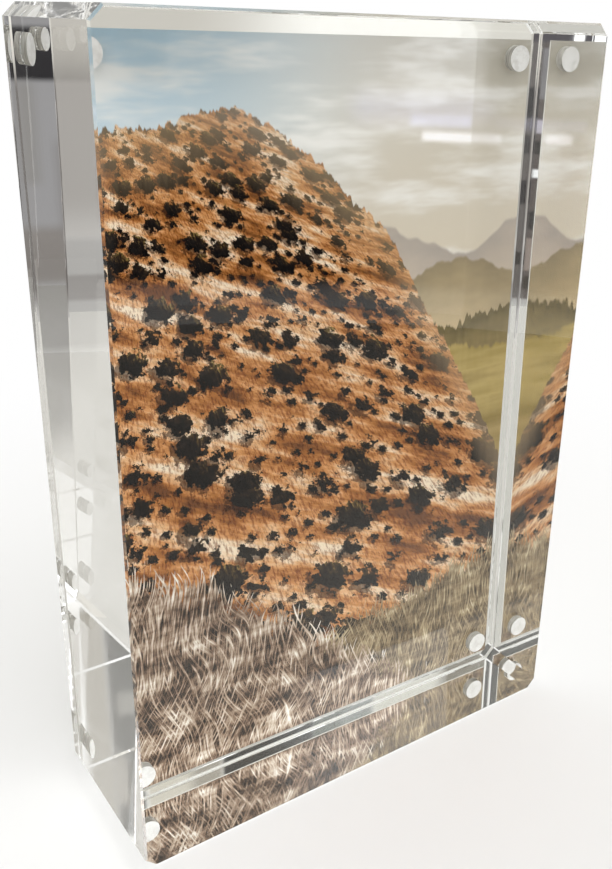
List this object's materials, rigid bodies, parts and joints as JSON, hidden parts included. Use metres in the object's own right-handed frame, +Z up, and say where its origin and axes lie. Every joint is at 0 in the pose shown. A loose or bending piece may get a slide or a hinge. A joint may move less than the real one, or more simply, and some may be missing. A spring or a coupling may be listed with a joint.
{
  "type": "magnetic photo frame",
  "caption": "Free-standing clear display block: a photo print lies between a thick front block and a thin back plate, which corner magnets pull together.",
  "frame": {"origin": "middle of the footprint at table height, with the frame standing upright in portrait", "axes": "+X across the picture to the right as seen from the front, +Y from the front face to the back plate, +Z up; the picture is seen from -Y"},
  "size_m": [0.1072, 0.039, 0.1588],
  "materials": {
    "clear_acrylic": "clear cast acrylic, polished on every face",
    "photo_paper": "glossy photographic print with a plain white back",
    "nickel_plating": "nickel plated sintered magnet",
    "white_adhesive": "cured white adhesive"
  },
  "bodies": {
    "block": {"front_block": "clear_acrylic", "front_magnet_top_left": "nickel_plating", "front_magnet_top_right": "nickel_plating", "front_magnet_bottom_left": "nickel_plating", "front_magnet_bottom_right": "nickel_plating", "front_adhesive_top_left": "white_adhesive", "front_adhesive_top_right": "white_adhesive", "front_adhesive_bottom_left": "white_adhesive", "front_adhesive_bottom_right": "white_adhesive"},
    "plate": {"back_plate": "clear_acrylic", "back_magnet_top_left": "nickel_plating", "back_magnet_top_right": "nickel_plating", "back_magnet_bottom_left": "nickel_plating", "back_magnet_bottom_right": "nickel_plating", "back_adhesive_top_left": "white_adhesive", "back_adhesive_top_right": "white_adhesive", "back_adhesive_bottom_left": "white_adhesive", "back_adhesive_bottom_right": "white_adhesive"},
    "print": {"photo_print": "photo_paper"}
  },
  "joints": [
    {"name": "plate_pull", "type": "slide", "parent": "block", "child": "plate", "axis": [0, 1, 0], "range_m": [0, 0.06]},
    {"name": "print_lift", "type": "slide", "parent": "block", "child": "print", "axis": [0, 0, 1], "range_m": [0, 0.16]}
  ]
}
